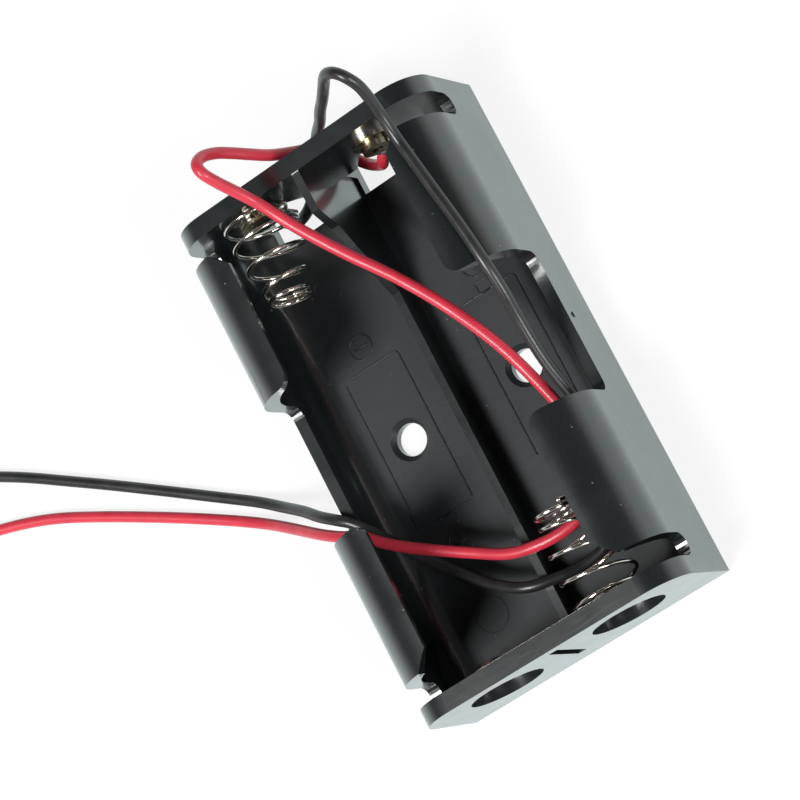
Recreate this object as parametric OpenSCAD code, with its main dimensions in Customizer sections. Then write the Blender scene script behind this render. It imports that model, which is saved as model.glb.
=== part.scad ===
// Open holder for two AA cells side by side, with a red and a black lead.
// Millimetres. The origin is the centre of the underside. +Z is the open side,
// +Y is the end that the leads leave from, and +X is to the right.

/* [Cells] */
// Radius of each round bay
bay_r = 7.25; // [5:0.05:9]
// Distance between the axes of the two cells
bay_pitch = 15.26; // [12:0.02:20]
// Length between the end walls
bay_len = 54; // [40:0.5:60]

/* [Walls] */
// Thickness of the floor
floor_t = 1.5; // [1:0.1:2.5]
// Thickness of each side wall
side_t = 1.32; // [0.8:0.02:2]
// Thickness of each end wall
end_t = 2; // [1.6:0.1:3]
// Height of the end walls
end_h = 14.4; // [12:0.1:17]
// Radius of the end walls' shoulders
end_shoulder_r = 4.3; // [1:0.1:6]
// Thickness of the divider between the bays
divider_t = 0.9; // [0.6:0.1:1.5]
// Height of the divider
divider_h = 4.9; // [3:0.1:7]
// Radius at the foot of each bay's outer side
foot_r = 3.4; // [1:0.1:5]

/* [Tabs] */
// Height of the tabs that hold the cells in
tab_h = 16; // [14:0.1:18]
// Radius of the tabs' outer side
tab_r = 5.5; // [3:0.1:7]
// Distance from the middle plane to the tabs' free edges
lip_x = 10.4; // [8:0.1:13]
// Length of the window between the tabs
window_len = 16.3; // [8:0.1:30]
// Height of the side walls in the window
sill_h = 6.6; // [4:0.1:9]
// Radius of the window's lower corners
window_r = 1.2; // [0.4:0.1:2]
// Radius of the tabs' corners beside the window
tab_corner_r = 1.5; // [0.5:0.1:3]
// Cut across the tabs' corners beside the end slots
tab_chamfer = 2; // [0.5:0.1:4]
// Width of the slot between each tab and the end wall
end_slot_w = 2.6; // [1:0.1:4]
// Height of the end slots' lower ends
end_slot_z = 7.2; // [5:0.1:9]

/* [Holes] */
// Diameter of the two mounting holes
mount_d = 3.5; // [2:0.1:5]
// Diameter of the countersinks
sink_d = 4.6; // [3:0.1:6]
// Depth of the countersinks
sink_depth = 0.55; // [0.2:0.05:1]
// Radius of the round recesses in the end walls
recess_r = 4.1; // [3:0.1:5]
// Depth of the recesses
recess_depth = 1.4; // [0.5:0.1:1.6]
// Height of the recesses' centres
recess_z = 8.37; // [7:0.01:9]
// Width of the slit between the recesses
slit_w = 1; // [0.5:0.1:2]
// Height of the notches where the leads leave
notch_h = 4; // [2:0.1:5]
// Width of each notch
notch_w = 9.9; // [6:0.1:12]

/* [Contacts] */
// Height of the contacts' centres
contact_z = 10.1; // [9:0.1:11]
// Thickness of the contact plates
plate_t = 0.3; // [0.2:0.05:0.6]
// Diameter of the rivets' heads
rivet_d = 4.6; // [3:0.1:6]
// Diameter of the rivets' shanks
shank_d = 2.2; // [1.5:0.1:3]
// Diameter of the spring wire
wire_d = 0.45; // [0.3:0.05:0.9]
// Outside diameter of each spring at its seat
spring_d = 8.2; // [6:0.1:10]
// Outside diameter of each spring at its free end
tip_d = 4.8; // [3:0.1:6]
// Length of each spring when free
spring_len = 10.2; // [6:0.1:16]
// Open turns of each spring
spring_turns = 3.2; // [2:0.1:6]
// Nearly closed turns at each spring's free end
tip_turns = 1.5; // [1:0.5:3]

/* [Leads] */
// Diameter of the leads' insulation
lead_d = 1.25; // [1:0.05:2]
// Diameter of the tinned ends
tinned_d = 0.7; // [0.4:0.05:1]

/* [Hidden] */
$fn = 64;
eps = 0.01;
bay_x = bay_pitch / 2;                 // axis of each bay
axis_z = floor_t + bay_r;              // height of the cells' axes
inner_x = bay_x + bay_r;               // inner face of each side wall
half_w = inner_x + side_t;             // outer face of each side wall
half_l = bay_len / 2 + end_t;          // outer face of each end wall
inner_y = bay_len / 2;                 // inner face of each end wall
shoulder_z = tab_h - tab_r;            // where the tabs' outer sides turn in
tab_end_y = inner_y - end_slot_w;      // the tabs' ends beside the end slots
window_y = window_len / 2;
skin_t = end_t - recess_depth;         // wall left behind each recess
notch_x = 0.8;                         // inner edge of each notch
notch_reach = 2;                       // how far each notch runs into the floor
cut = 30;                              // reach of a cutter that runs right out
web_t = divider_t;
slit_tilt = 4;
slit_len = 2 * recess_r + 0.4;
// Rising edge of the web that braces the wall of the leads' end, as [y, z].
web_edge = [[inner_y - 13.9, divider_h], [inner_y - 8.7, 9.6], [inner_y - 6.3, 11.2],
            [inner_y - 5.7, 12.4], [inner_y - 4.6, 14], [inner_y, end_h - 0.2]];
// Left side and top of the arch that each notch rises into, as [x, z] from the bay's axis.
arch_edge = [[-5.6, 3.5], [-4.6, 5.2], [-3.4, 7], [-2.6, 8], [1.6, 8], [2.4, 7], [2.8, 3.5]];
head_t = 0.4;
button_h = 1.3;
link_button_h = 0.6;                   // button formed in the link plate
button_d = 3.1;
button_hole_d = 1.3;
tail_d = 3.4;
seat_y = inner_y - plate_t;            // face that each spring and solder joint sits on
solder_r = 0.95;
solder_lift = 0.35;                    // centre of each joint above its tag
solder_in = 0.6;                       // how far each joint stands off its bay's axis
tail_w = 2.3;
tail_1_z = contact_z - spring_d / 2 - 1.9;      // clear of the spring's seat
tail_2_z = contact_z - rivet_d / 2 - 1.9;
tail_recess_r = 3.2;                   // recess round a rivet's closed end
seat_gap = 0.05;
strip_r = 2.9;                         // half height of the link plate
lean_1 = [-0.04, 0.14];                // how far each spring leans to its free end
lean_2 = [0.02, 0.34];                 // lifted by the leads that pass under it
tilt_1 = 0.12;
seat_turns = 1.2;                      // flat turns of each spring, against its plate
spring_taper = 1.6;                    // a high power keeps the open turns wide for longer
coil_steps = 16;                       // segments in a turn of a spring
coil_sides = 6;
lead_sides = 8;

// The leads' routes, from the solder joints to the tinned ends.
black_route = [
    [-7.0, 26.0, 4.6], [-6.7, 26.1, 3.2], [-5.6, 27.0, 2.1], [-4.2, 28.4, 1.9], [-2.7, 29.9, 2.5],
    [-1.0, 31.1, 4.1], [1.0, 31.8, 6.5], [3.1, 31.7, 9.4], [5.0, 31.5, 12.6], [7.0, 31.3, 15.6],
    [8.8, 31.4, 18.2], [10.0, 31.4, 20.0], [11.0, 31.1, 21.3], [12.0, 30.4, 22.1], [12.8, 29.4, 22.0],
    [13.2, 28.2, 20.9], [13.0, 26.8, 19.3], [12.7, 25.2, 17.8], [12.6, 22.8, 16.7], [12.8, 20.9, 16.5],
    [13.3, 16.8, 16.3], [13.9, 12.0, 16.0], [14.2, 7.8, 15.5], [14.0, 4.6, 14.1], [13.4, 1.4, 12.2],
    [13.0, -2.8, 10.2], [13.2, -7.0, 8.3], [13.3, -11.0, 6.5], [12.4, -15.0, 5.0], [10.4, -18.4, 3.6],
    [7.4, -20.7, 3.2], [4.2, -21.5, 3.9], [1.2, -21.4, 5.4], [-1.9, -20.7, 6.1], [-5.2, -18.5, 5.4],
    [-8.2, -15.3, 5.0], [-11.0, -11.8, 5.3], [-13.1, -8.7, 6.3], [-14.9, -6.0, 7.3], [-16.5, -4.6, 7.4],
    [-18.6, -3.0, 6.4], [-21.0, -1.0, 4.3], [-23.7, 1.0, 2.3], [-26.8, 3.4, 1.0], [-31.0, 6.4, 0.7],
    [-36.6, 10.4, 0.7], [-42.0, 14.2, 0.7], [-46.4, 17.2, 0.7], [-51.0, 20.3, 0.7], [-55.2, 22.8, 0.7],
    [-59.0, 24.7, 0.7]];
red_route = [
    [6.9, 26.0, 6.9], [6.3, 25.6, 6.4], [5.7, 25.5, 5.4], [5.0, 25.8, 4.2], [4.1, 26.4, 3.2],
    [3.1, 27.2, 2.5], [2.2, 28.3, 2.6], [1.5, 29.8, 3.7], [1.0, 30.1, 5.5], [0.3, 30.3, 8.0], [-0.8, 30.3, 10.6], [-1.9, 30.4, 13.3],
    [-2.9, 30.9, 15.6], [-3.9, 31.5, 17.3], [-4.8, 31.9, 18.9], [-5.5, 31.7, 20.8], [-5.8, 30.8, 22.2],
    [-5.6, 29.6, 22.3], [-5.2, 28.4, 20.9], [-4.6, 27.0, 18.9], [-3.7, 25.1, 17.1], [-1.9, 21.4, 15.7],
    [1.0, 16.6, 14.2], [4.1, 12.0, 12.9], [7.0, 6.8, 11.6], [9.5, 1.0, 10.4], [11.0, -4.5, 9.2],
    [11.7, -8.6, 8.4], [11.6, -12.0, 7.5], [10.6, -15.2, 6.9], [8.4, -17.2, 6.9], [5.6, -18.1, 7.4],
    [2.2, -18.0, 7.6], [-1.2, -17.1, 7.4], [-4.8, -15.0, 7.1], [-8.2, -12.8, 7.3], [-11.0, -10.8, 7.9],
    [-13.0, -9.1, 8.2], [-14.5, -7.6, 8.3], [-16.6, -6.5, 7.9], [-18.9, -5.0, 6.8], [-21.4, -3.2, 5.0],
    [-24.0, -1.3, 3.0], [-26.8, 0.7, 1.3], [-30.2, 3.0, 0.7], [-34.6, 5.8, 0.7], [-39.4, 8.7, 0.7],
    [-44.8, 11.8, 0.7], [-50.2, 14.6, 0.7], [-55.6, 16.6, 0.7], [-61.2, 18.0, 0.7], [-65.6, 18.7, 0.7]];
tinned_len = 5;

// ---- Helpers ----

// Points of an arc, counter-clockwise from angle a to angle b.
function arc(centre, r, a, b, n = 6) =
    [for (i = [0 : n]) centre + r * [cos(a + (b - a) * i / n), sin(a + (b - a) * i / n)]];

function unit(v) = v / norm(v);

// Direction of a route at its point i.
function heading(route, i) =
    unit(route[min(i + 1, len(route) - 1)] - route[max(i - 1, 0)]);

// A vector square to the heading at point i, carried along from the one before.
function sides_way(route, i) =
    i == 0 ? unit(cross(heading(route, 0), abs(heading(route, 0).x) < 0.9 ? [1, 0, 0] : [0, 0, 1]))
           : let (before = sides_way(route, i - 1), ahead = heading(route, i))
             unit(before - ahead * (before * ahead));

// The carried vectors of a whole route, worked out one after another.
function carried(route) =
    [for (i = 0, way = sides_way(route, 0); i < len(route); i = i + 1,
          way = i < len(route)
              ? let (ahead = heading(route, i)) unit(way - ahead * (way * ahead)) : way) way];

// A round bar along a route.
module swept(route, d, sides) {
    ways = carried(route);
    last = len(route) - 1;
    points = [for (i = [0 : last])
                  let (ahead = heading(route, i), across = ways[i], up = cross(ahead, across))
                  for (k = [0 : sides - 1])
                      route[i] + d / 2 * (across * cos(k * 360 / sides) + up * sin(k * 360 / sides))];
    walls = [for (i = [0 : last - 1], k = [0 : sides - 1])
                 let (a = i * sides + k, b = i * sides + (k + 1) % sides)
                 each [[a, b, a + sides], [b, b + sides, a + sides]]];
    first_cap = [for (k = [1 : sides - 2]) [0, k + 1, k]];
    last_cap = [for (k = [1 : sides - 2]) [last * sides, last * sides + k, last * sides + k + 1]];
    polyhedron([for (p = points) p], [for (f = concat(walls, first_cap, last_cap)) [f[2], f[1], f[0]]]);
}

// An outline drawn as [x, z], extruded both ways along Y.
module along_y(length) {
    rotate([90, 0, 0]) linear_extrude(length, center = true) children();
}

// An outline drawn as [y, z], extruded both ways along X.
module along_x(length) {
    rotate([90, 0, 90]) linear_extrude(length, center = true) children();
}

// ---- Housing ----

// Outer outline of the tub with its tabs.
module tub_outline() {
    translate([-half_w, 0]) square([2 * half_w, shoulder_z]);
    translate([tab_r - half_w, 0]) square([2 * (half_w - tab_r), tab_h]);
    for (side = [-1, 1])
        translate([side * (half_w - tab_r), shoulder_z]) circle(tab_r);
}

// Outline of an end wall.
module end_outline() {
    translate([-half_w, 0]) square([2 * half_w, end_h - end_shoulder_r]);
    translate([end_shoulder_r - half_w, 0]) square([2 * (half_w - end_shoulder_r), end_h]);
    for (side = [-1, 1])
        translate([side * (half_w - end_shoulder_r), end_h - end_shoulder_r]) circle(end_shoulder_r);
}

// Outline of the right bay: straight at the divider, round under the tab and at the foot.
module bay_outline() {
    near_x = divider_t / 2;
    translate([near_x, floor_t]) square([inner_x - foot_r - near_x, axis_z - floor_t]);
    translate([near_x, floor_t + foot_r]) square([inner_x - near_x, axis_z - floor_t - foot_r]);
    translate([inner_x - foot_r, floor_t + foot_r]) circle(foot_r);
    intersection() {
        translate([bay_x, axis_z]) circle(bay_r);
        translate([near_x, axis_z - eps]) square(2 * bay_r);
    }
    translate([0, divider_h]) square([lip_x, tab_h]);
}

// The window between the tabs, seen from the side.
module window_outline() {
    polygon(concat([[window_y, cut], [-window_y, cut]],
                   arc([window_r - window_y, sill_h + window_r], window_r, 180, 270),
                   arc([window_y - window_r, sill_h + window_r], window_r, 270, 360)));
}

// One end slot, seen from the side, with a round lower end.
module end_slot_outline() {
    r = end_slot_w / 2;
    polygon(concat([[inner_y, cut], [tab_end_y, cut]],
                   arc([inner_y - r, end_slot_z + r], r, 180, 360, 12)));
}

// What rounds a tab's corner beside the window, seen from above.
module tab_corner_outline() {
    r = tab_corner_r;
    polygon(concat([[lip_x - 1, window_y - 1], [lip_x + r, window_y - 1]],
                   [[lip_x + r, window_y]],
                   arc([lip_x + r, window_y + r], r, 270, 180),
                   [[lip_x - 1, window_y + r]]));
}

// What cuts a tab's corner beside the end slot, seen from above.
module tab_chamfer_outline() {
    polygon([[lip_x - 1, tab_end_y - tab_chamfer - 1], [lip_x + tab_chamfer + 1, tab_end_y + 1],
             [lip_x - 1, tab_end_y + 1]]);
}

module mounting_hole() {
    translate([0, 0, -1]) cylinder(h = floor_t + 2, d = mount_d);
    translate([0, 0, floor_t - sink_depth])
        cylinder(h = sink_depth + eps, d1 = mount_d, d2 = sink_d);
}

// A round recess in the outside of an end wall.
module recess(r, z) {
    translate([0, half_l - recess_depth / 2 + 0.5, z]) along_y(recess_depth + 1) circle(r);
}

// Way out for a lead, through the floor's end and under the wall.
module lead_notch() {
    from_y = inner_y - notch_reach;
    translate([notch_x - bay_x, from_y, -1]) cube([notch_w, half_l + 1 - from_y, notch_h + 1]);
    translate([0, half_l, 0]) along_y(2 * end_t + 2) polygon(arch_edge);
}

module housing() {
    color([0.07, 0.08, 0.08])
    difference() {
        union() {
            difference() {
                union() {
                    along_y(bay_len) tub_outline();
                    for (side = [-1, 1])
                        translate([0, side * (half_l - end_t / 2), 0]) along_y(end_t) end_outline();
                }
                along_y(bay_len) {
                    bay_outline();
                    mirror([1, 0]) bay_outline();
                }
                along_x(cut * 2) window_outline();
                for (side = [-1, 1], end = [-1, 1]) {
                    mirror([0, end < 0 ? 1 : 0, 0])
                        translate([side * (lip_x + half_w) / 2, 0, 0])
                            along_x(half_w - lip_x + 1) end_slot_outline();
                    mirror([side < 0 ? 1 : 0, 0, 0]) mirror([0, end < 0 ? 1 : 0, 0])
                        translate([0, 0, axis_z]) linear_extrude(cut) {
                            tab_corner_outline();
                            tab_chamfer_outline();
                        }
                }
            }
            along_x(web_t) polygon(concat(web_edge, [[inner_y + 0.5, end_h - 0.2], [inner_y + 0.5, 1],
                                                     [web_edge[0].x, 1]]));
        }
        for (side = [-1, 1]) {
            translate([side * bay_x, 0, 0]) mounting_hole();
            mirror([side < 0 ? 1 : 0, 0, 0]) translate([bay_x, 0, 0]) {
                recess(tail_recess_r, contact_z);
                mirror([0, 1, 0]) recess(recess_r, recess_z);
                lead_notch();
            }
        }
        for (side = [-1, 1])
            translate([side * bay_x, inner_y, contact_z]) along_y(2 * end_t) circle(d = shank_d);
        translate([0, -half_l, recess_z]) rotate([0, slit_tilt, 0])
            cube([slit_w, 2 * recess_depth, slit_len], center = true);
    }
}

// ---- Contacts ----

// The plate that joins the bays at the far end, with the button formed in it.
module link_plate() {
    color([0.75, 0.74, 0.70]) {
        translate([0, -inner_y + plate_t / 2, 0]) along_y(plate_t) {
            translate([-bay_x, contact_z - strip_r]) square([bay_pitch, 2 * strip_r]);
            for (side = [-1, 1]) translate([side * bay_x, contact_z]) circle(strip_r);
        }
        translate([-bay_x, -inner_y, contact_z]) rotate([-90, 0, 0])
            rotate_extrude() polygon([[0, 0], [rivet_d / 2, 0], [rivet_d / 2, plate_t],
                                      [button_d / 2, plate_t + link_button_h], [0, plate_t + link_button_h]]);
    }
}

// A spring's radius at turn t: a flat spiral out from the rivet, then a cone.
function spring_r(t) =
    let (seat_r = (shank_d + wire_d) / 2 + seat_gap, base_r = (spring_d - wire_d) / 2,
         tip_r = (tip_d - wire_d) / 2, open = min(max(t - seat_turns, 0) / spring_turns, 1))
    t < 1 ? seat_r + (base_r - seat_r) * t : base_r - (base_r - tip_r) * pow(open, spring_taper);

// Its height above the seat at turn t: flat, then open, then nearly closed.
function spring_y(t) =
    let (closed_pitch = wire_d * 1.3, tip_y = spring_len - wire_d - closed_pitch * tip_turns,
         open = max(t - seat_turns, 0) / spring_turns)
    wire_d / 2 + (open < 1 ? tip_y * open : tip_y + closed_pitch * (t - seat_turns - spring_turns));

// Route of a spring from its seat. For each millimetre out it leans by lean, in X and Z, and
// its turns tilt by tilt times X.
function spring_route(lean, tilt) =
    [for (i = [0 : (seat_turns + spring_turns + tip_turns) * coil_steps])
        let (t = i / coil_steps, r = spring_r(t), y = spring_y(t), a = t * 360 + 90)
        [r * cos(a) + lean[0] * y, y + tilt * r * cos(a) * min(y / 3, 1), r * sin(a) + lean[1] * y]];

module spring(route) {
    color([0.86, 0.85, 0.80]) swept(route, wire_d, coil_sides);
}

module spring_1() {
    translate([-bay_x, seat_y, contact_z]) mirror([0, 1, 0])
        spring(spring_route(lean_1, tilt_1));
}

module spring_2() {
    translate([bay_x, -seat_y, contact_z])
        spring(spring_route(lean_2, 0));
}

// A hollow rivet that holds a contact plate. Its head stands head_y off the wall.
module rivet(head_y, button) {
    color([0.72, 0.68, 0.52])
    rotate([90, 0, 0]) rotate_extrude() {
        translate([0, -skin_t]) square([shank_d / 2, skin_t + head_y + eps]);
        translate([0, head_y]) square([rivet_d / 2, head_t]);
        translate([0, -skin_t - head_t]) square([tail_d / 2, head_t]);
        if (button)
            translate([button_hole_d / 2, head_y]) square([(button_d - button_hole_d) / 2, button_h]);
    }
}

module rivet_1() {
    translate([-bay_x, inner_y, contact_z]) rivet(plate_t + wire_d + seat_gap, false);
}

module rivet_2() {
    translate([bay_x, inner_y, contact_z]) rivet(plate_t, true);
}

// A round contact plate with a tail for the lead, which reaches down to the height tail_z.
module solder_tag(tail_z) {
    color([0.78, 0.77, 0.72])
    translate([0, inner_y - plate_t / 2, 0]) along_y(plate_t) difference() {
        union() {
            translate([0, contact_z]) circle(d = rivet_d);
            translate([-solder_in - tail_w / 2, tail_z]) square([tail_w, contact_z - tail_z]);
        }
        translate([0, contact_z]) circle(d = shank_d);
    }
}

module tag_1() {
    mirror([1, 0, 0]) translate([bay_x, 0, 0]) solder_tag(tail_1_z);
}

module tag_2() {
    translate([bay_x, 0, 0]) solder_tag(tail_2_z);
}

// The dome of solder at the tail's end, on the side that faces the bay.
module solder_joint(tail_z) {
    color([0.80, 0.80, 0.80])
    translate([-solder_in, seat_y, tail_z + solder_r]) rotate([90, 0, 0]) rotate_extrude()
        intersection() {
            translate([0, solder_lift]) circle(solder_r);
            square(2 * solder_r);
        }
}

module solder_1() {
    mirror([1, 0, 0]) translate([bay_x, 0, 0]) solder_joint(tail_1_z);
}

module solder_2() {
    translate([bay_x, 0, 0]) solder_joint(tail_2_z);
}

// ---- Leads ----

module lead_black() {
    color([0.06, 0.06, 0.06]) swept(black_route, lead_d, lead_sides);
}

module lead_red() {
    color([0.80, 0.08, 0.12]) swept(red_route, lead_d, lead_sides);
}

// The bare end of a lead, straight on from the insulation.
module tinned_end(route) {
    last = len(route) - 1;
    ahead = unit(route[last] - route[last - 1]);
    color([0.78, 0.78, 0.76]) swept([route[last], route[last] + tinned_len * ahead], tinned_d, lead_sides);
}

module tinned_black() {
    tinned_end(black_route);
}

module tinned_red() {
    tinned_end(red_route);
}

housing();
link_plate();
spring_1();
spring_2();
rivet_1();
rivet_2();
tag_1();
tag_2();
solder_1();
solder_2();
lead_black();
lead_red();
tinned_black();
tinned_red();
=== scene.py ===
# Looks of the holder for two AA cells. Metres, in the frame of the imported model:
# the origin is the centre of the underside, +Z is the open side, +Y is the leads' end.
from math import cos, pi, radians, sin

import bmesh
import bpy
from mathutils import Matrix, Vector


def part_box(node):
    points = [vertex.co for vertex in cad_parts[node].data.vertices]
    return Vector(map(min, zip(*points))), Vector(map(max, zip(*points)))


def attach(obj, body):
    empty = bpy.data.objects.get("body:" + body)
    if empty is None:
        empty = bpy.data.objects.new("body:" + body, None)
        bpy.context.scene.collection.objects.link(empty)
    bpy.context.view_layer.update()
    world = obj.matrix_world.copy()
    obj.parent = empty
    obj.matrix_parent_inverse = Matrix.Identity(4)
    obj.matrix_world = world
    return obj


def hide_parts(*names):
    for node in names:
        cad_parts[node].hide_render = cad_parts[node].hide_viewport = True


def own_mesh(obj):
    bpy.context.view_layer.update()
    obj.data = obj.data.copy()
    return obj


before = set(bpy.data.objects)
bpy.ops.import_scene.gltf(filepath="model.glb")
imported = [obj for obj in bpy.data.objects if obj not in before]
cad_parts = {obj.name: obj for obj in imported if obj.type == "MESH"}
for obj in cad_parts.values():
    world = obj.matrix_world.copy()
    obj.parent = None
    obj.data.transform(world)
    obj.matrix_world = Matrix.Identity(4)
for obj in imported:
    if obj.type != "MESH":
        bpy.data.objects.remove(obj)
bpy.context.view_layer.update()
MM = 0.001
scene = bpy.context.scene


def mm(*values):
    return Vector(values) * MM


# ---- Camera: at the photograph's viewing angle ----

camera_data = bpy.data.cameras.new("camera")
camera = bpy.data.objects.new("camera", camera_data)
scene.collection.objects.link(camera)
scene.camera = camera
camera_data.sensor_width = 36
camera_data.lens = 153.6
camera_data.shift_x = -0.070
camera_data.shift_y = -0.0046
camera_data.clip_start = 0.01
camera_data.clip_end = 50
CAMERA_PLACE = mm(127.99, -81.97, 321.30)
CAMERA_RIGHT = Vector((0.78215, -0.44930, -0.43170))
CAMERA_UP = Vector((0.50643, 0.86205, 0.02035))
camera.matrix_world = Matrix.Translation(CAMERA_PLACE) @ Matrix(
    (CAMERA_RIGHT, CAMERA_UP, CAMERA_RIGHT.cross(CAMERA_UP).normalized())).transposed().to_4x4()

# ---- Sizes: from the frame, and as in the source ----

HALF_W, HALF_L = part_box("housing")[1][:2]
END_T = 2 * MM                          # thickness of each end wall
PLATE_T = 0.3 * MM                      # thickness of the contact plates
FLOOR_Z = 1.5 * MM                      # top of the housing's floor
SEAT_Y = HALF_L - END_T - PLATE_T       # where the springs sit
CONTACT_Z = 10.1 * MM                   # height of the contacts' centres
BAY_X = 7.63 * MM                       # distance of each bay's axis from the middle
WIRE_D = 0.45 * MM                      # springs' wire
LEAD_D = 1.25 * MM                      # leads, over their insulation

# ---- Routes of the leads, in millimetres as in the source ----

BLACK_ROUTE = [
    (-7.0, 26.0, 4.6), (-6.7, 26.1, 3.2), (-5.6, 27.0, 2.1), (-4.2, 28.4, 1.9), (-2.7, 29.9, 2.5),
    (-1.0, 31.1, 4.1), (1.0, 31.8, 6.5), (3.1, 31.7, 9.4), (5.0, 31.5, 12.6), (7.0, 31.3, 15.6),
    (8.8, 31.4, 18.2), (10.0, 31.4, 20.0), (11.0, 31.1, 21.3), (12.0, 30.4, 22.1), (12.8, 29.4, 22.0),
    (13.2, 28.2, 20.9), (13.0, 26.8, 19.3), (12.7, 25.2, 17.8), (12.6, 22.8, 16.7), (12.8, 20.9, 16.5),
    (13.3, 16.8, 16.3), (13.9, 12.0, 16.0), (14.2, 7.8, 15.5), (14.0, 4.6, 14.1), (13.4, 1.4, 12.2),
    (13.0, -2.8, 10.2), (13.2, -7.0, 8.3), (13.3, -11.0, 6.5), (12.4, -15.0, 5.0), (10.4, -18.4, 3.6),
    (7.4, -20.7, 3.2), (4.2, -21.5, 3.9), (1.2, -21.4, 5.4), (-1.9, -20.7, 6.1), (-5.2, -18.5, 5.4),
    (-8.2, -15.3, 5.0), (-11.0, -11.8, 5.3), (-13.1, -8.7, 6.3), (-14.9, -6.0, 7.3), (-16.5, -4.6, 7.4),
    (-18.6, -3.0, 6.4), (-21.0, -1.0, 4.3), (-23.7, 1.0, 2.3), (-26.8, 3.4, 1.0), (-31.0, 6.4, 0.7),
    (-36.6, 10.4, 0.7), (-42.0, 14.2, 0.7), (-46.4, 17.2, 0.7), (-51.0, 20.3, 0.7), (-55.2, 22.8, 0.7),
    (-59.0, 24.7, 0.7)]
RED_ROUTE = [
    (6.9, 26.0, 6.9), (6.3, 25.6, 6.4), (5.7, 25.5, 5.4), (5.0, 25.8, 4.2), (4.1, 26.4, 3.2),
    (3.1, 27.2, 2.5), (2.2, 28.3, 2.6), (1.5, 29.8, 3.7), (1.0, 30.1, 5.5),
    (0.3, 30.3, 8.0), (-0.8, 30.3, 10.6), (-1.9, 30.4, 13.3),
    (-2.9, 30.9, 15.6), (-3.9, 31.5, 17.3), (-4.8, 31.9, 18.9), (-5.5, 31.7, 20.8), (-5.8, 30.8, 22.2),
    (-5.6, 29.6, 22.3), (-5.2, 28.4, 20.9), (-4.6, 27.0, 18.9), (-3.7, 25.1, 17.1), (-1.9, 21.4, 15.7),
    (1.0, 16.6, 14.2), (4.1, 12.0, 12.9), (7.0, 6.8, 11.6), (9.5, 1.0, 10.4), (11.0, -4.5, 9.2),
    (11.7, -8.6, 8.4), (11.6, -12.0, 7.5), (10.6, -15.2, 6.9), (8.4, -17.2, 6.9), (5.6, -18.1, 7.4),
    (2.2, -18.0, 7.6), (-1.2, -17.1, 7.4), (-4.8, -15.0, 7.1), (-8.2, -12.8, 7.3), (-11.0, -10.8, 7.9),
    (-13.0, -9.1, 8.2), (-14.5, -7.6, 8.3), (-16.6, -6.5, 7.9), (-18.9, -5.0, 6.8), (-21.4, -3.2, 5.0),
    (-24.0, -1.3, 3.0), (-26.8, 0.7, 1.3), (-30.2, 3.0, 0.7), (-34.6, 5.8, 0.7), (-39.4, 8.7, 0.7),
    (-44.8, 11.8, 0.7), (-50.2, 14.6, 0.7), (-55.6, 16.6, 0.7), (-61.2, 18.0, 0.7), (-65.6, 18.7, 0.7)]
TINNED_LEN = 5 * MM

# ---- Materials ----


def new_material(name, colour, roughness, metallic=0.0, **sockets):
    """A material with its Principled shader. Sockets are set by their names."""
    material = bpy.data.materials.new(name)
    material.use_nodes = True
    shader = material.node_tree.nodes["Principled BSDF"]
    shader.inputs["Base Color"].default_value = (*colour, 1)
    shader.inputs["Roughness"].default_value = roughness
    shader.inputs["Metallic"].default_value = metallic
    for socket, value in sockets.items():
        shader.inputs[socket.replace("_", " ")].default_value = value
    return material, shader


def add(material, kind, **settings):
    """A new node in the tree of a material or world. Settings are its inputs or attributes."""
    node = material.node_tree.nodes.new(kind)
    for name, value in settings.items():
        if name in node.inputs:
            node.inputs[name].default_value = value
        else:
            setattr(node, name, value)
    return node


def link(material, source, target):
    material.node_tree.links.new(source, target)


def coordinates(material, kind="Object"):
    return add(material, "ShaderNodeTexCoord").outputs[kind]


def noise(material, scale, detail=4, distortion=0.0, stretch=(1, 1, 1)):
    """Noise in metres: scale is features in each metre."""
    mapping = add(material, "ShaderNodeMapping")
    mapping.inputs["Scale"].default_value = stretch
    link(material, coordinates(material), mapping.inputs["Vector"])
    node = add(material, "ShaderNodeTexNoise", Scale=scale, Detail=detail, Distortion=distortion)
    link(material, mapping.outputs["Vector"], node.inputs["Vector"])
    return node.outputs["Fac"]


def ranged(material, source, low, high, from_low=0.3, from_high=0.7):
    """A source's values from from_low to from_high, stretched to run from low to high."""
    node = add(material, "ShaderNodeMapRange")
    for index, value in enumerate((from_low, from_high, low, high), start=1):
        node.inputs[index].default_value = value
    link(material, source, node.inputs[0])
    return node.outputs[0]


def blended(material, factor, low, high):
    """The colour low where the factor is 0, and high where it is 1."""
    node = add(material, "ShaderNodeMix", data_type="RGBA")
    node.inputs["A"].default_value = (*low, 1)
    node.inputs["B"].default_value = (*high, 1)
    link(material, factor, node.inputs["Factor"])
    return node.outputs["Result"]


def computed(material, operation, *values):
    """A maths node. Each value is a number or another node's output."""
    node = add(material, "ShaderNodeMath", operation=operation)
    for target, value in zip(node.inputs, values):
        if isinstance(value, float):
            target.default_value = value
        else:
            link(material, value, target)
    return node.outputs[0]


def axis_z(material, source):
    """The Z part of a vector."""
    node = add(material, "ShaderNodeSeparateXYZ")
    link(material, source, node.inputs[0])
    return node.outputs["Z"]


def bumped(material, shader, source, distance, strength, under=None):
    """A bump, on top of the bump under it, that becomes the shader's normal."""
    node = add(material, "ShaderNodeBump", Strength=strength, Distance=distance)
    link(material, source, node.inputs["Height"])
    if under is not None:
        link(material, under, node.inputs["Normal"])
    link(material, node.outputs["Normal"], shader.inputs["Normal"])
    return node.outputs["Normal"]


def floor_mask(material):
    """1 on the bays' floors, and 0 on what stands up from them."""
    low = ranged(material, axis_z(material, coordinates(material)), 1, 0,
                 FLOOR_Z + 0.1 * MM, FLOOR_Z + 0.5 * MM)
    upward = ranged(material, axis_z(material, coordinates(material, "Normal")), 0, 1)
    return computed(material, "MULTIPLY", low, upward)


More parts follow.
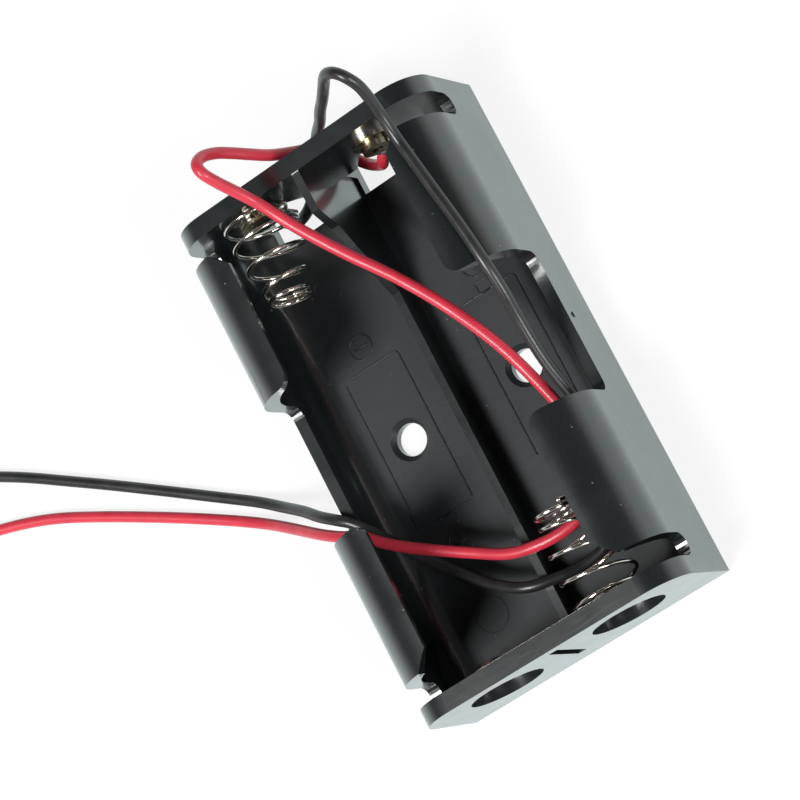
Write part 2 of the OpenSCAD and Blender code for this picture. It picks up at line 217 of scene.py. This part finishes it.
def black_plastic():
    """Moulded black plastic with fine scratches and dust: glossy, but hazy on the bays' floors, which
    are rougher there and lighter in colour, a painted sheen.
    """
    gloss = 0.12                            # roughness of the coat on walls and tabs
    material, shader = new_material("black_plastic", (0.010, 0.012, 0.013), 0.3, IOR=1.6,
                                    Coat_Weight=1.0, Coat_Roughness=gloss, Coat_IOR=1.6)
    haze = noise(material, 160, detail=5, distortion=0.6)
    grain = noise(material, 2600, detail=3)
    scratches = noise(material, 1100, detail=6, distortion=1.2, stretch=(0.15, 1, 1))
    dust = noise(material, 1900, detail=1)
    on_floor = floor_mask(material)
    roughness = computed(material, "MULTIPLY_ADD", on_floor, ranged(material, haze, 0.16, 0.30),
                         ranged(material, haze, 0.26, 0.36))
    coat_roughness = computed(material, "MULTIPLY_ADD", on_floor,
                              ranged(material, haze, 0.22, 0.34), gloss)
    link(material, roughness, shader.inputs["Roughness"])
    link(material, coat_roughness, shader.inputs["Coat Roughness"])
    link(material, ranged(material, on_floor, 1, 0.25), shader.inputs["Coat Weight"])
    link(material, ranged(material, on_floor, 0.5, 0.25), shader.inputs["Specular IOR Level"])
    # Painted sheen: the bays' upward-facing floors get a lighter colour than the walls and tabs,
    # standing for the light they catch.
    colour_with_painted_floor_sheen = blended(material, on_floor, (0.007, 0.010, 0.0105), (0.015, 0.0175, 0.0195))
    specks = add(material, "ShaderNodeMix", data_type="RGBA")
    link(material, ranged(material, dust, 0, 1, 0.785, 0.815), specks.inputs["Factor"])
    link(material, colour_with_painted_floor_sheen, specks.inputs["A"])
    specks.inputs["B"].default_value = (0.16, 0.16, 0.165, 1)
    link(material, specks.outputs["Result"], shader.inputs["Base Color"])
    normal = bumped(material, shader, haze, 0.03 * MM, 0.25)
    normal = bumped(material, shader, grain, 0.01 * MM, 0.35, normal)
    normal = bumped(material, shader, scratches, 0.02 * MM, 0.4, normal)
    link(material, normal, shader.inputs["Coat Normal"])
    return material


def metal(name, colour, dark, roughness, scale=900):
    """Plated metal whose brightness and gloss vary with handling."""
    material, shader = new_material(name, colour, roughness, 1.0)
    wear = noise(material, scale, detail=5, distortion=0.4)
    link(material, blended(material, ranged(material, wear, 0, 1), dark, colour),
         shader.inputs["Base Color"])
    link(material, ranged(material, wear, roughness * 1.4, roughness * 0.7),
         shader.inputs["Roughness"])
    bumped(material, shader, noise(material, scale * 3, detail=3), 0.01 * MM, 0.4)
    return material


def insulation(name, colour, shade, roughness, coat):
    """Soft vinyl with a waxy gloss and faint unevenness along the lead."""
    material, shader = new_material(name, colour, roughness, Coat_Weight=coat,
                                    Coat_Roughness=0.12)
    uneven = noise(material, 350, distortion=0.3)
    link(material, blended(material, ranged(material, uneven, 0, 1), shade, colour),
         shader.inputs["Base Color"])
    link(material, ranged(material, uneven, roughness * 1.2, roughness * 0.8),
         shader.inputs["Roughness"])
    bumped(material, shader, noise(material, 1500, detail=3), 0.02 * MM, 0.25)
    return material


PLASTIC = black_plastic()
PLATED = metal("plated_steel", (0.66, 0.65, 0.60), (0.42, 0.40, 0.35), 0.24)
WIRE = metal("spring_wire", (0.90, 0.88, 0.82), (0.70, 0.66, 0.58), 0.13, 1400)
BRASSY = metal("rivet_metal", (0.62, 0.57, 0.42), (0.36, 0.32, 0.20), 0.22)
SOLDER = metal("solder", (0.72, 0.73, 0.74), (0.48, 0.49, 0.50), 0.28, 2000)
COPPER = metal("tinned_copper", (0.78, 0.77, 0.74), (0.60, 0.56, 0.50), 0.25, 2500)
RED = insulation("red_insulation", (0.64, 0.036, 0.062), (0.54, 0.024, 0.048), 0.44, 0.25)
BLACK = insulation("black_insulation", (0.014, 0.014, 0.015), (0.022, 0.022, 0.023), 0.42, 0.25)

# ---- Mesh helpers ----


def smooth_route(points, steps):
    """Points along a smooth curve through the given points, with its two ends kept."""
    ends = [2 * points[0] - points[1]] + list(points) + [2 * points[-1] - points[-2]]
    route = []
    for before, here, there, after in zip(ends, ends[1:], ends[2:], ends[3:]):
        for i in range(steps):
            t = i / steps
            route.append(0.5 * (2 * here + (there - before) * t
                                + (2 * before - 5 * here + 4 * there - after) * t ** 2
                                + (3 * here - before - 3 * there + after) * t ** 3))
    return route + [points[-1]]


def as_piece(name, form, material):
    """The object made of a bmesh, in the scene, with its normals outwards."""
    mesh = bpy.data.meshes.new(name)
    bmesh.ops.recalc_face_normals(form, faces=form.faces)
    form.to_mesh(mesh)
    form.free()
    mesh.materials.append(material)
    piece = bpy.data.objects.new(name, mesh)
    scene.collection.objects.link(piece)
    return piece


def tube(name, route, radius, sides, material, closed=False):
    """A round bar along a route, with flat ends, or none where the route is closed."""
    form = bmesh.new()
    last = len(route) - 1
    across = None
    rings = []
    for i, point in enumerate(route):
        if closed:
            ahead = (route[(i + 1) % len(route)] - route[i - 1]).normalized()
        else:
            ahead = (route[min(i + 1, last)] - route[max(i - 1, 0)]).normalized()
        if across is None:
            across = ahead.cross((1, 0, 0) if abs(ahead.x) < 0.9 else (0, 0, 1))
        across = (across - ahead * across.dot(ahead)).normalized()
        over = ahead.cross(across)
        rings.append([form.verts.new(point + radius * (across * cos(k * 2 * pi / sides)
                                                       + over * sin(k * 2 * pi / sides)))
                      for k in range(sides)])
    pairs = list(zip(rings, rings[1:])) + ([(rings[-1], rings[0])] if closed else [])
    for one, other in pairs:
        for k in range(sides):
            n = (k + 1) % sides
            form.faces.new((one[k], one[n], other[n], other[k])).smooth = True
    if not closed:
        form.faces.new(rings[0][::-1])
        form.faces.new(rings[-1])
    return as_piece(name, form, material)


def turned(name, profile, origin, axis, material, sides):
    """A turned piece. Its profile is a list of (radius, distance along the axis)."""
    form = bmesh.new()
    turn = Vector((0, 0, 1)).rotation_difference(Vector(axis)).to_matrix()
    rings = []
    for radius, along in profile:
        count = sides if radius else 1
        rings.append([form.verts.new(origin + turn @ Vector(
            (radius * cos(k * 2 * pi / sides), radius * sin(k * 2 * pi / sides), along)))
            for k in range(count)])
    for one, other in zip(rings, rings[1:]):
        for k in range(sides):
            n = (k + 1) % sides
            corners = [one[k % len(one)], one[n % len(one)], other[n % len(other)],
                       other[k % len(other)]]
            form.faces.new(list(dict.fromkeys(corners))).smooth = True
    piece = as_piece(name, form, material)
    crisp(piece, degrees=40)
    return piece


def crisp_group(degrees):
    """A node group that smooths a mesh except at edges sharper than an angle."""
    group = bpy.data.node_groups.new(f"smooth_{degrees}", "GeometryNodeTree")
    group.interface.new_socket("Geometry", in_out="INPUT", socket_type="NodeSocketGeometry")
    group.interface.new_socket("Geometry", in_out="OUTPUT", socket_type="NodeSocketGeometry")
    start = group.nodes.new("NodeGroupInput")
    end = group.nodes.new("NodeGroupOutput")
    faces = group.nodes.new("GeometryNodeSetShadeSmooth")
    edges = group.nodes.new("GeometryNodeSetShadeSmooth")
    edges.domain = "EDGE"
    angle = group.nodes.new("GeometryNodeInputMeshEdgeAngle")
    limit = group.nodes.new("FunctionNodeCompare")
    limit.operation = "GREATER_THAN"
    limit.inputs[1].default_value = radians(degrees)
    faces.inputs["Shade Smooth"].default_value = True
    edges.inputs["Shade Smooth"].default_value = False
    group.links.new(start.outputs[0], faces.inputs["Geometry"])
    group.links.new(faces.outputs[0], edges.inputs["Geometry"])
    group.links.new(angle.outputs["Unsigned Angle"], limit.inputs[0])
    group.links.new(limit.outputs[0], edges.inputs["Selection"])
    group.links.new(edges.outputs[0], end.inputs[0])
    return group


def crisp(piece, degrees):
    """Smooths a piece except at edges sharper than an angle."""
    name = f"smooth_{degrees}"
    modifier = piece.modifiers.new("smooth", "NODES")
    modifier.node_group = bpy.data.node_groups.get(name) or crisp_group(degrees)


def bevelled(piece, width, degrees):
    """Softens the edges sharper than an angle."""
    modifier = piece.modifiers.new("bevel", "BEVEL")
    modifier.width = width
    modifier.segments = 2
    modifier.limit_method = "ANGLE"
    modifier.angle_limit = radians(degrees)
    modifier.harden_normals = True


# ---- Leads ----

ROUTE_STEPS = 6                         # points made for each one of a route
LEAD_SIDES, STRAND_SIDES = 20, 8
STRANDS_ROUND = 6                       # strands round the middle one
STRAND_D = 0.23 * MM
STRAND_REACH = 0.21 * MM                # from the middle strand to those round it
STRAND_START = 0.6 * MM                 # how far inside the insulation the strands start
STRAND_STEPS = 24
STRAND_TWIST = 0.22                     # radians a step


def strand_route(number, start, ahead):
    """The path of one twisted strand. Number 0 is the middle one."""
    across = ahead.cross((0, 0, 1)).normalized()
    over = ahead.cross(across)
    reach = STRAND_REACH if number else 0
    route = []
    for i in range(STRAND_STEPS + 1):
        along = (TINNED_LEN + STRAND_START) * (i / STRAND_STEPS)
        angle = number * 2 * pi / STRANDS_ROUND + i * STRAND_TWIST
        route.append(start + ahead * along - ahead * STRAND_START
                     + reach * (across * cos(angle) + over * sin(angle)))
    return route


def lead(name, node, tinned_node, route_mm, material):
    """A free lead: its insulation, and the twisted strands of its bare end."""
    route = smooth_route([mm(*point) for point in route_mm], ROUTE_STEPS)
    ahead = (route[-1] - route[-2]).normalized()
    insulated = tube(name, route, LEAD_D / 2, LEAD_SIDES, material)
    strands = []
    for k in range(STRANDS_ROUND + 1):
        strands.append(tube(f"{name}_strand_{k}", strand_route(k, route[-1], ahead),
                            STRAND_D / 2, STRAND_SIDES, COPPER))
        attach(strands[-1], "tray")
    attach(insulated, "tray")
    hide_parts(node)
    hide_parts(tinned_node)


lead("black_lead", "lead_black", "tinned_black", BLACK_ROUTE, BLACK)
lead("red_lead", "lead_red", "tinned_red", RED_ROUTE, RED)

# ---- Springs ----

SPRING_LEN = 10.2 * MM
SEAT_TURNS, OPEN_TURNS, TIP_TURNS = 1.2, 3.2, 1.5
SEAT_R, BASE_R, TIP_R = 1.375 * MM, 3.875 * MM, 2.175 * MM
TAPER = 1.6                             # above 1, the open turns stay wide at first
CLOSED_PITCH = WIRE_D * 1.3
TIP_Y = SPRING_LEN - WIRE_D - CLOSED_PITCH * TIP_TURNS    # where the closed turns start
TILT_Y = 3 * MM                         # where the tilt of the open turns is full
TURN_STEPS = 40
WIRE_SIDES = 14


def spring_point(t, lean, tilt):
    """Centre of the wire at turn t: X, distance from the seat, Z."""
    opened = max(t - SEAT_TURNS, 0) / OPEN_TURNS
    if t < 1:
        r = SEAT_R + (BASE_R - SEAT_R) * t
    else:
        r = BASE_R - (BASE_R - TIP_R) * min(opened, 1) ** TAPER
    y = WIRE_D / 2 + (TIP_Y * opened if opened < 1
                      else TIP_Y + CLOSED_PITCH * (t - SEAT_TURNS - OPEN_TURNS))
    angle = t * 2 * pi + pi / 2
    return (r * cos(angle) + lean[0] * y,
            y + tilt * r * cos(angle) * min(y / TILT_Y, 1),
            r * sin(angle) + lean[1] * y)


def spring(number, side, end, lean, tilt):
    """A contact spring in the bay on one side, at one end."""
    turns = SEAT_TURNS + OPEN_TURNS + TIP_TURNS
    route = []
    for i in range(int(turns * TURN_STEPS) + 1):
        x, y, z = spring_point(i / TURN_STEPS, lean, tilt)
        route.append(Vector((side * BAY_X + x, end * (SEAT_Y - y), CONTACT_Z + z)))
    piece = tube(f"spring_coil_{number}", route, WIRE_D / 2, WIRE_SIDES, WIRE)
    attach(piece, "tray")
    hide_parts(f"spring_{number}")
    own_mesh(piece)


spring(1, -1, 1, (-0.04, 0.14), 0.12)
spring(2, 1, -1, (0.02, 0.34), 0)

# ---- CAD nodes: their materials and edges ----


def dress(node, material, bevel=None, degrees=30):
    """Gives a node of the frame its material and softened edges."""
    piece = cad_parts[node]
    piece.data.materials.clear()
    piece.data.materials.append(material)
    if bevel:
        bevelled(piece, bevel, degrees)
    crisp(piece, degrees)


dress("housing", PLASTIC, bevel=0.14 * MM, degrees=32)
dress("link_plate", PLATED, bevel=0.05 * MM)
for number in (1, 2):
    dress(f"rivet_{number}", BRASSY, bevel=0.06 * MM)
    dress(f"tag_{number}", PLATED, bevel=0.05 * MM)
    dress(f"solder_{number}", SOLDER)

# ---- Marks moulded on the floor of each bay, in millimetres from the middle of the housing ----

CELL_X0, CELL_X1, CELL_HALF_LEN = -11.3, -4.25, 8.95      # outline of a cell
NUB_X0, NUB_X1, NUB_Y = -8.6, -6.9, -10.2                 # its positive end
CELL_CORNER, NUB_CORNER = 0.5, 0.3                        # radii
SIGN_X = -7.75
SIGN_R = 1.35                                             # ring round each sign
SIGN_ARM = 0.8
SIGNS = {"plus": -12.15, "minus": 11.3}                   # Y of each
EJECTOR_RINGS = ((-8.4, -20.4, 1.9), (-8.1, 18.6, 1.6), (8.3, 19.6, 1.7), (8.2, -19.0, 1.8))
MARK_D, EJECTOR_D = 0.22 * MM, 0.1 * MM                   # their lines
LINE_SIDES = 8


def raised_line(name, points, closed=True, diameter=MARK_D):
    """A low rounded line on the bay's floor through points in millimetres."""
    route = [Vector((x * MM, y * MM, FLOOR_Z)) for x, y in points]
    piece = tube(name, route, diameter / 2, LINE_SIDES, PLASTIC, closed)
    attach(piece, "tray")


def rounded(x0, y0, x1, y1, r, steps=6):
    """Outline of a rectangle with round corners."""
    corners = ((x1 - r, y1 - r, 0), (x0 + r, y1 - r, 90), (x0 + r, y0 + r, 180),
               (x1 - r, y0 + r, 270))
    return [(x + r * cos(radians(a + 90 * i / steps)), y + r * sin(radians(a + 90 * i / steps)))
            for x, y, a in corners for i in range(steps + 1)]


def round_line(x, y, r, steps=36):
    """A circle."""
    return [(x + r * cos(2 * pi * i / steps), y + r * sin(2 * pi * i / steps))
            for i in range(steps)]


def bay_marks(bay, side):
    """One bay's marks. Side -1 turns bay 1's by half a turn."""
    def mark(name, points, closed=True):
        raised_line(f"mark_{bay}_{name}", [(side * x, side * y) for x, y in points], closed)

    mark("cell", rounded(CELL_X0, -CELL_HALF_LEN, CELL_X1, CELL_HALF_LEN, CELL_CORNER))
    mark("nub", rounded(NUB_X0, NUB_Y, NUB_X1, -CELL_HALF_LEN, NUB_CORNER))
    for sign, y in SIGNS.items():
        mark(f"{sign}_ring", round_line(SIGN_X, y, SIGN_R))
        mark(f"{sign}_bar", [(SIGN_X - SIGN_ARM, y), (SIGN_X + SIGN_ARM, y)], False)
    stem_y = SIGNS["plus"]
    mark("plus_stem", [(SIGN_X, stem_y - SIGN_ARM), (SIGN_X, stem_y + SIGN_ARM)], False)


bay_marks(1, 1)
bay_marks(2, -1)
for number, (x, y, r) in enumerate(EJECTOR_RINGS):
    raised_line(f"ejector_ring_{number}", round_line(x, y, r), True, EJECTOR_D)

# The pip that the mould's gate left outside the +X wall. Its profile: radius, distance from the wall
PIP_PROFILE = [(0.34 * MM, -0.05 * MM), (0.34 * MM, 0.06 * MM), (0.26 * MM, 0.14 * MM),
               (0, 0.16 * MM)]
PIP_Y, PIP_Z = 0.8 * MM, 5.1 * MM
PIP_SIDES = 24
pip = turned("gate_pip", PIP_PROFILE, Vector((HALF_W, PIP_Y, PIP_Z)), (1, 0, 0), PLASTIC, PIP_SIDES)
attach(pip, "tray")

# ---- Floor, world and lamps ----


def floor_material():
    """Glows white for the camera and blue-green for reflections, and is pale and matt otherwise."""
    material, shader = new_material("floor", (0.92, 0.92, 0.92), 0.9)
    ray = add(material, "ShaderNodeLightPath").outputs
    glow = add(material, "ShaderNodeEmission", Strength=1.0)
    link(material, blended(material, ray["Is Camera Ray"], (0.86, 0.97, 0.97), (1, 1, 1)),
         glow.inputs["Color"])
    seen = computed(material, "MAXIMUM", ray["Is Camera Ray"], ray["Is Glossy Ray"])
    share = computed(material, "MULTIPLY", seen, 0.85)      # the rest shows the shadow
    mixer = add(material, "ShaderNodeMixShader")
    link(material, share, mixer.inputs["Fac"])
    link(material, shader.outputs[0], mixer.inputs[1])
    link(material, glow.outputs[0], mixer.inputs[2])
    link(material, mixer.outputs[0], material.node_tree.nodes["Material Output"].inputs["Surface"])
    return material


floor_form = bmesh.new()
bmesh.ops.create_grid(floor_form, x_segments=1, y_segments=1, size=3)
floor = as_piece("floor", floor_form, floor_material())
floor.location.z = -0.05 * MM

# The world is bright at the horizon and dark overhead.
WORLD_LEVELS = ((0.20, 0.6), (0.42, 0.11))                 # (height of direction, brightness)
world = bpy.data.worlds.new("studio")
scene.world = world
world.use_nodes = True
sky = world.node_tree.nodes["Background"]
ramp = add(world, "ShaderNodeValToRGB")
link(world, axis_z(world, coordinates(world, "Generated")), ramp.inputs["Fac"])
link(world, ramp.outputs["Color"], sky.inputs["Color"])
stops = ramp.color_ramp.elements
stops[0].position, stops[0].color = 0.0, (0.95, 0.95, 0.96, 1)
stops[1].position, stops[1].color = 1.0, (0.05, 0.052, 0.055, 1)
for position, level in WORLD_LEVELS:
    stops.new(position).color = (level, level, level, 1)
sky.inputs["Strength"].default_value = 0.9


def lamp(name, place, size, power):
    """A square lamp that faces the origin."""
    data = bpy.data.lights.new(name, "AREA")
    data.size = size
    data.energy = power
    piece = bpy.data.objects.new(name, data)
    piece.location = place
    piece.rotation_euler = (-Vector(place)).to_track_quat("-Z", "Y").to_euler()
    scene.collection.objects.link(piece)


lamp("key", (-0.42, -0.30, 1.05), 0.42, 14.0)
lamp("fill", (0.75, -0.75, 0.75), 0.45, 9.0)

# ---- View settings ----

scene.view_settings.view_transform = "Standard"
bpy.context.view_layer.update()
